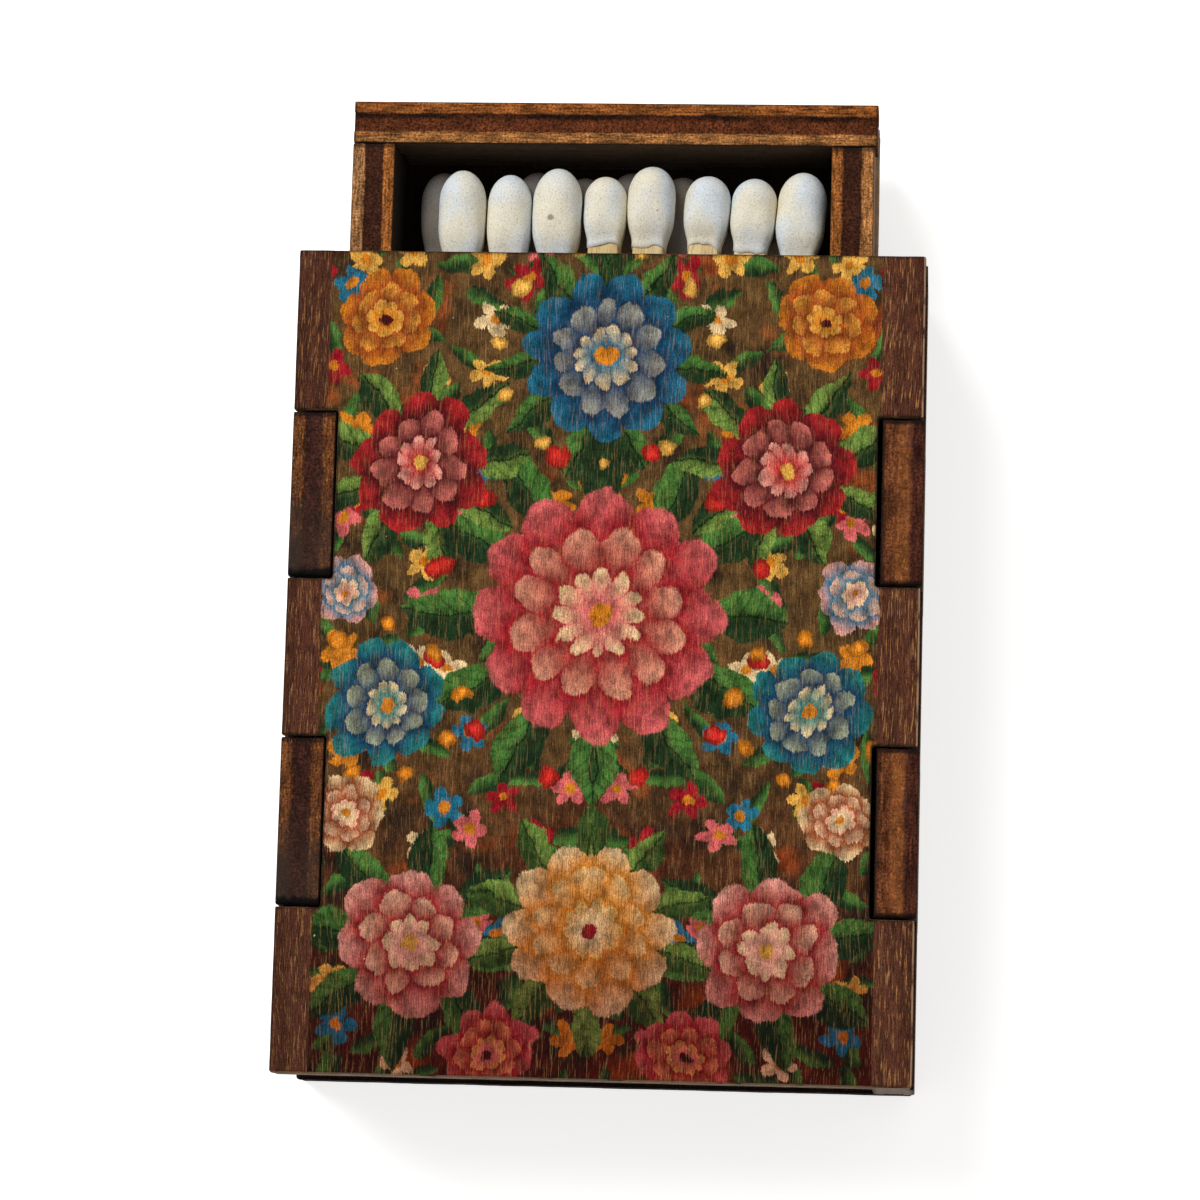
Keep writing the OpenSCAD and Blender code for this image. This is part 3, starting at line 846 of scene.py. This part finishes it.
# The drawer's floor is the same sheet, with slots in all four edges for the tabs of the walls and
# plates that stand on it. The drawer is stained pale, and painted shade darkens the well.
low, high = corners_of("drawer_floor")
drawer_at = Vector(((low.x + high.x) / 2, (low.y + high.y) / 2, low.z))
drawer_half_l, drawer_half_w = (high.y - low.y) / 2, (high.x - low.x) / 2
left_wall_in = ply + kerf
right_wall_in = drawer_at.x + drawer_half_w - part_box("drawer_right_wall")[1].x / mm + left_wall_in
left_notch, right_notch = left_wall_in - drawer_half_w, drawer_half_w - right_wall_in
plate_tab = 6.2
floor_seed = 6
drawer_looks = [paint(150, 120, 92), paint(182, 154, 122), paint(98, 72, 52)]
drawer_plies = {"Core": paint(66, 36, 23), "Char": paint(28, 14, 9), "Inner Share": 0.27, "Core Share": 0.70}


def end_slot(way):
    """The slot in one end of the floor for a plate's tab."""
    end, side = way * drawer_half_l, -way * (plate_tab + kerf)
    deep = end - way * (ply + kerf)
    first_side = [(end, side, sharp_bend), (deep, side, slot_bend)]
    return first_side + [(deep, -side, slot_bend), (end, -side, sharp_bend)]


floor_outline = notched_panel(
    drawer_half_l, -drawer_half_w, drawer_half_w, left_notch, right_notch, (sharp_bend,) * 4)
far_corner = floor_outline.index((drawer_half_l, drawer_half_w, sharp_bend))
floor_outline[far_corner:far_corner] = end_slot(1)
floor_outline += end_slot(-1)


def in_drawer(along, across, up):
    """A place in the drawer, drawn from the middle of its lower face, as a place in the box."""
    return (drawer_at.x + across, drawer_at.y + along, drawer_at.z + up)


def shaded_well_floor(place, veneer, grain):
    """Painted shade darkens the floor inside the well; it stays pale where it stands out past the walls."""
    across = abs(on_sheet(place, floor_seed)[1])
    past_wall = ease(across, drawer_half_w - 2.0, drawer_half_w - 1.6)
    # Painted shade inside the well.
    return blend(past_wall, brighten(veneer, 0.05), veneer)


def painted_light_ledge(place, rim, colour):
    """The floor stands out past the walls by a narrow ledge, in the walls' shadow. Painted light makes
    the ledge and the cut edge under it nearly as pale as the walls."""
    across = abs(on_sheet(place, floor_seed)[1])
    at_side = ease(across, drawer_half_w - 0.7, drawer_half_w - 0.5) * ease(rim, -0.1, 0.0, 0.65, 0.85)
    # Painted light: pale colours that lighten the shadowed ledge and its cut edge.
    bare = blend(ease(rim, -0.1, 0.0), paint(158, 130, 100), paint(204, 172, 138))
    streaks = ease(cloud(place, (0.6, 0.6, 6.0), 3.0, 0.6), 0.3, 0.7, 0.7, 1.2)
    return blend(at_side, colour, brighten(bare, streaks))


drawer_floor = cut_sheet("drawer_floor_sheet", floor_outline, in_drawer, ply_profile(ply), floor_seed)
drawer_floor.data.materials.append(ply_finish(
    "stained drawer floor", *drawer_looks,
    {**drawer_plies, "Inner": paint(138, 84, 44), "Outer": paint(138, 84, 44)}, paint(150, 104, 64), 0.2,
    inside="high", inner_shade=1.0, face=shaded_well_floor, over=painted_light_ledge, outlined=0.15))
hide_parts("drawer_floor")
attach(drawer_floor, "drawer")


# The drawer's walls stand on the floor, between the plates, and half their height runs on to the
# ends as tabs. Their upper edges show the plies: pale outside, dark core, orange brown inside.
low, high = corners_of("drawer_left_wall")
drawer_h = high.z - low.z
well_half_l = drawer_half_l - ply
corner_top = ply + (drawer_h - ply) / 2
drawer_wall_outline = [
    (-drawer_half_l, ply, sharp_bend), *steps(tabs, ply, 0, tab_bend), (drawer_half_l, ply, sharp_bend),
    (drawer_half_l, corner_top, tab_bend), (well_half_l, corner_top, sharp_bend),
    (well_half_l, drawer_h, tab_bend), (-well_half_l, drawer_h, tab_bend),
    (-well_half_l, corner_top, sharp_bend), (-drawer_half_l, corner_top, tab_bend),
]
for number, (side, outer) in enumerate((("left", paint(170, 120, 76)), ("right", paint(180, 122, 70)))):
    low, high = corners_of(f"drawer_{side}_wall")
    inner_x, way = (high.x, -1) if side == "left" else (low.x, 1)
    wall = cut_sheet(
        f"{side}_drawer_wall", drawer_wall_outline,
        lambda a, c, t: (inner_x + way * t, drawer_at.y + a, drawer_at.z + c), ply_profile(ply), 7 + number)
    wall.data.materials.append(ply_finish(
        f"stained {side} drawer wall", *drawer_looks,
        {**drawer_plies, "Inner": paint(158, 96, 46), "Outer": outer}, paint(176, 124, 76), 0.15,
        inner_shade=0.09, outlined=0.3))
    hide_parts(f"drawer_{side}_wall")
    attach(wall, "drawer")


# The end plates close the drawer over its full width. A tab runs down through the floor at the
# middle, and the walls' tabs pass under the lower corners. The upper edge shows the plies.
notch_top = corner_top + kerf
plate_outline = [
    (left_notch, ply, sharp_bend), *steps([(-plate_tab, plate_tab)], ply, 0, tab_bend),
    (right_notch, ply, sharp_bend), (right_notch, notch_top, slot_bend),
    (drawer_half_w, notch_top, sharp_bend), (drawer_half_w, drawer_h, sharp_bend),
    (-drawer_half_w, drawer_h, sharp_bend), (-drawer_half_w, notch_top, sharp_bend),
    (left_notch, notch_top, slot_bend),
]
plate_plies = {
    "Inner": paint(163, 108, 60), "Core": paint(98, 50, 26), "Char": paint(30, 16, 11),
    "Outer": paint(150, 87, 40), "Inner Share": 0.28, "Core Share": 0.72, "Band": 0.13}
for number, (end, way) in enumerate((("front", 1), ("rear", -1))):
    low, high = corners_of(f"drawer_{end}_plate")
    inner_y = low.y if way > 0 else high.y
    plate = cut_sheet(
        f"{end}_drawer_plate", plate_outline,
        lambda a, c, t: (drawer_at.x + a, inner_y + way * t, drawer_at.z + c), ply_profile(ply), 9 + number)
    plate.data.materials.append(ply_finish(
        f"stained {end} drawer plate", *drawer_looks, plate_plies, paint(178, 132, 84), 0.15,
        inner_shade=0.24))
    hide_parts(f"drawer_{end}_plate")
    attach(plate, "drawer")


# The matches' sticks are sawn from pale aspen, square with eased corners. They lie in two layers
# of eight, heads to the open end, and each leans a little on those below it.
match_shift = Vector((0, 20, 9))


def along_axis(name, rings, seed, sharp=None):
    """A closed solid through rings of points, each given with its place for the finish. The finish of
    each match starts further on in the grain by `match_shift`."""
    bm = bmesh.new()
    layer = bm.verts.layers.float_vector.new("place")
    made = []
    for ring in rings:
        row = []
        for point, place in ring:
            vert = bm.verts.new(point * mm)
            vert[layer] = place + match_shift * seed
            row.append(vert)
        made.append(row)
    return skin(name, bm, made, sharp)


class Match:
    """Where one match lies: its belly, its tail, and its axes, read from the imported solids."""

    def __init__(self, layer, number):
        self.node = f"{layer}_match_{number}"
        self.layer = layer
        self.seed = number + (0 if layer == "upper" else 8)
        head_low, head_high = corners_of(self.node + "_head")
        stick_low, stick_high = corners_of(self.node + "_stick")
        self.radius = (head_high.x - head_low.x) / 2
        self.length = head_high.y - head_low.y
        self.front = self.length * belly_share
        self.rear = self.length - self.front
        middle = (head_low.x + head_high.x) / 2
        belly_z = head_high.z - self.radius if layer == "upper" else head_low.z + self.radius
        self.belly = Vector((middle, head_high.y - self.front, belly_z))
        self.tail = Vector((stick_low.x + half_stick, stick_low.y, stick_low.z + half_stick))
        self.back = (self.tail - self.belly).normalized()
        self.side = Vector((0, 0, 1)).cross(self.back).normalized()
        self.up = self.back.cross(self.side)

    def at(self, back, side, up):
        return self.belly + self.back * back + self.side * side + self.up * up


half_stick, stick_ease = 1.1, 0.26
belly_share = 0.35
matches = [Match(layer, number) for layer in ("upper", "lower") for number in range(1, 9)]
flat_half, eased_half = half_stick - stick_ease, half_stick - stick_ease * 0.3
eased_corner = [(flat_half, half_stick), (eased_half, eased_half), (half_stick, flat_half), (half_stick, 0)]
stick_section = []
for quarter in range(4):
    c, s = math.cos(-quarter * math.pi / 2), math.sin(-quarter * math.pi / 2)
    stick_section += [(x * c - y * s, x * s + y * c) for x, y in eased_corner]

stick_wood, tree, shader = new_finish("match wood", {"Specular IOR Level": 0.3})
place = mark(tree, "place", "Vector")
grain = use(wood_grain, {"Place": place, "Wander": 0.5})
tone = ease(cloud(place, (0.05, 0.35, 0.35)), 0.3, 0.7)
colour = blend(tone, paint(224, 192, 132), paint(242, 220, 168))
colour = blend(grain["Dark"] * 0.45, colour, paint(160, 118, 68))
colour = blend(grain["Light"] * 0.4, colour, paint(246, 226, 178))
soaked = (cloud(place, (0.5, 1.5, 1.5)) - 0.5) * 0.9 + split(place)[0]
colour = blend(ease(soaked, 0.22, 0.0, 0.0, 0.45), colour, paint(178, 128, 74))
close_finish(shader, colour, ease(grain["Height"], 0.0, 0.6, 0.8, 0.62), grain["Height"], 0.5, 0.08)

under_coat = 1.4
stick_steps = 30
for match in matches:
    start, end = under_coat - match.front, (match.tail - match.belly).length
    run = end - 0.2 - start
    stations = [start, *(start + 0.1 + run * k / stick_steps for k in range(stick_steps + 1)), end]
    rings = []
    for back in stations:
        shrink = 0.96 if back in (start, end) else 1.0
        ring = []
        for x, z in stick_section:
            wave = noise.noise(Vector((back * 0.12, x * 0.8 + match.seed * 5.1, z * 0.8)))
            size = shrink * (1 - 0.012 - 0.014 * wave)
            ring.append((match.at(back, x * size, z * size), Vector((back - match.rear, x, z))))
        rings.append(ring)
    stick = along_axis(f"{match.node}_wood", rings, match.seed, sharp=40)
    stick.data.materials.append(stick_wood)
    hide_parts(match.node + "_stick")
    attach(stick, "drawer")


# The heads are dipped: a chalky off-white coat, round at the belly, that thins on to the square
# stick and ends there in a wavy tan line. It is finely pitted, and no two are alike.
def head_finish(name, painted_shade, marks):
    """The dipped coat of one layer. The second argument is painted shade that darkens the whole coat,
    and `marks` are single spots on it.
    """
    material, tree, shader = new_finish(name, {"Specular IOR Level": 0.25})
    place = mark(tree, "place", "Vector")
    slow = cloud(place, (0.2, 0.3, 0.3))
    colour = blend(ease(slow, 0.36, 0.64), paint(224, 230, 234), paint(238, 230, 208))
    colour = brighten(colour, ease(cloud(place, 8.5, 1.5, 0.5), 0.3, 0.7, 1.05, 0.87))
    speck = cloud(place + (3.0, 7.0, 19.0), 7.5, 1.0, 0.5)
    colour = blend(ease(speck, 0.6, 0.7, 0.0, 0.4), colour, paint(144, 136, 122))
    edge = (cloud(place, 1.2) - 0.5) * 0.3 + split(place)[0]
    colour = blend(ease(edge, 0.12, 0.34, 0.0, 0.4), colour, paint(190, 158, 116))
    for spot, reach, tint in marks:
        colour = blend(ease(length_of(place - spot), reach, reach * 0.6, 0.0, 0.85), colour, tint)
    pits = cloud(place, 7.0, 3.0, 0.6) * 0.6 + cloud(place, 1.6)
    close_finish(shader, colour * painted_shade, ease(slow, 0.3, 0.7, 0.85, 0.7), pits, 0.4, 0.06)
    return material


pit = (Vector((-3.05, -0.3, 1.6)) + match_shift * 6, 0.3, paint(150, 128, 100))
brown_dot = (Vector((-2.2, 0.5, 1.5)) + match_shift * 4, 0.15, paint(146, 92, 58))
head_coats = {
    "upper": head_finish("match head coat", (1.0, 1.0, 1.0), (pit, brown_dot)),
    # The lower layer's coat is darkened with painted shade, for the shadow of the upper layer.
    "lower": head_finish("dusty match head coat", (0.27, 0.235, 0.21), ()),
}

neck = half_stick + 0.1
runs_on = 0.36
taper_power = 2.5
arc_rings = 14
around = 48
for match in matches:
    profile = [(-match.front * math.cos(a), match.radius * math.sin(a), 2.0)
               for a in (math.pi / 2 * (k / arc_rings) for k in range(1, arc_rings + 1))]
    for k in range(1, arc_rings + 1):
        u = k / arc_rings
        radius = neck + (match.radius - neck) * (1 + math.cos(math.pi * u ** taper_power)) / 2
        profile.append((match.rear * u, radius, 2.0 + 3.5 * u ** 1.5))
    for back, radius in ((runs_on - 0.06, neck), (runs_on, neck - 0.07), (runs_on, half_stick - 0.06)):
        profile.append((match.rear + back, radius, 5.5))
    rings = []
    for back, radius, squareness in profile:
        ring = []
        for k in range(around):
            a = full_turn * k / around
            c, s = math.cos(a), math.sin(a)
            size = radius / (abs(c) ** squareness + abs(s) ** squareness) ** (1 / squareness)
            spot = Vector((back * 0.45, c * 1.3 + match.seed * 4.7, s * 1.3))
            lump = noise.noise(spot) * 0.03 + noise.noise(spot * 2.7) * 0.012
            size *= 1 - 0.012 + lump * min(1, radius)
            wave = noise.noise(Vector((c * 1.6, s * 1.6, match.seed * 2.3))) * 0.4
            wave *= max(0.0, back / match.rear * 2 - 1)
            place = Vector((back - match.rear, c * radius, s * radius))
            ring.append((match.at(back + wave, c * size, s * size), place))
        rings.append(ring)
    head = along_axis(f"{match.node}_coat", rings, match.seed)
    head.data.materials.append(head_coats[match.layer])
    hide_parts(match.node + "_head")
    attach(head, "drawer")
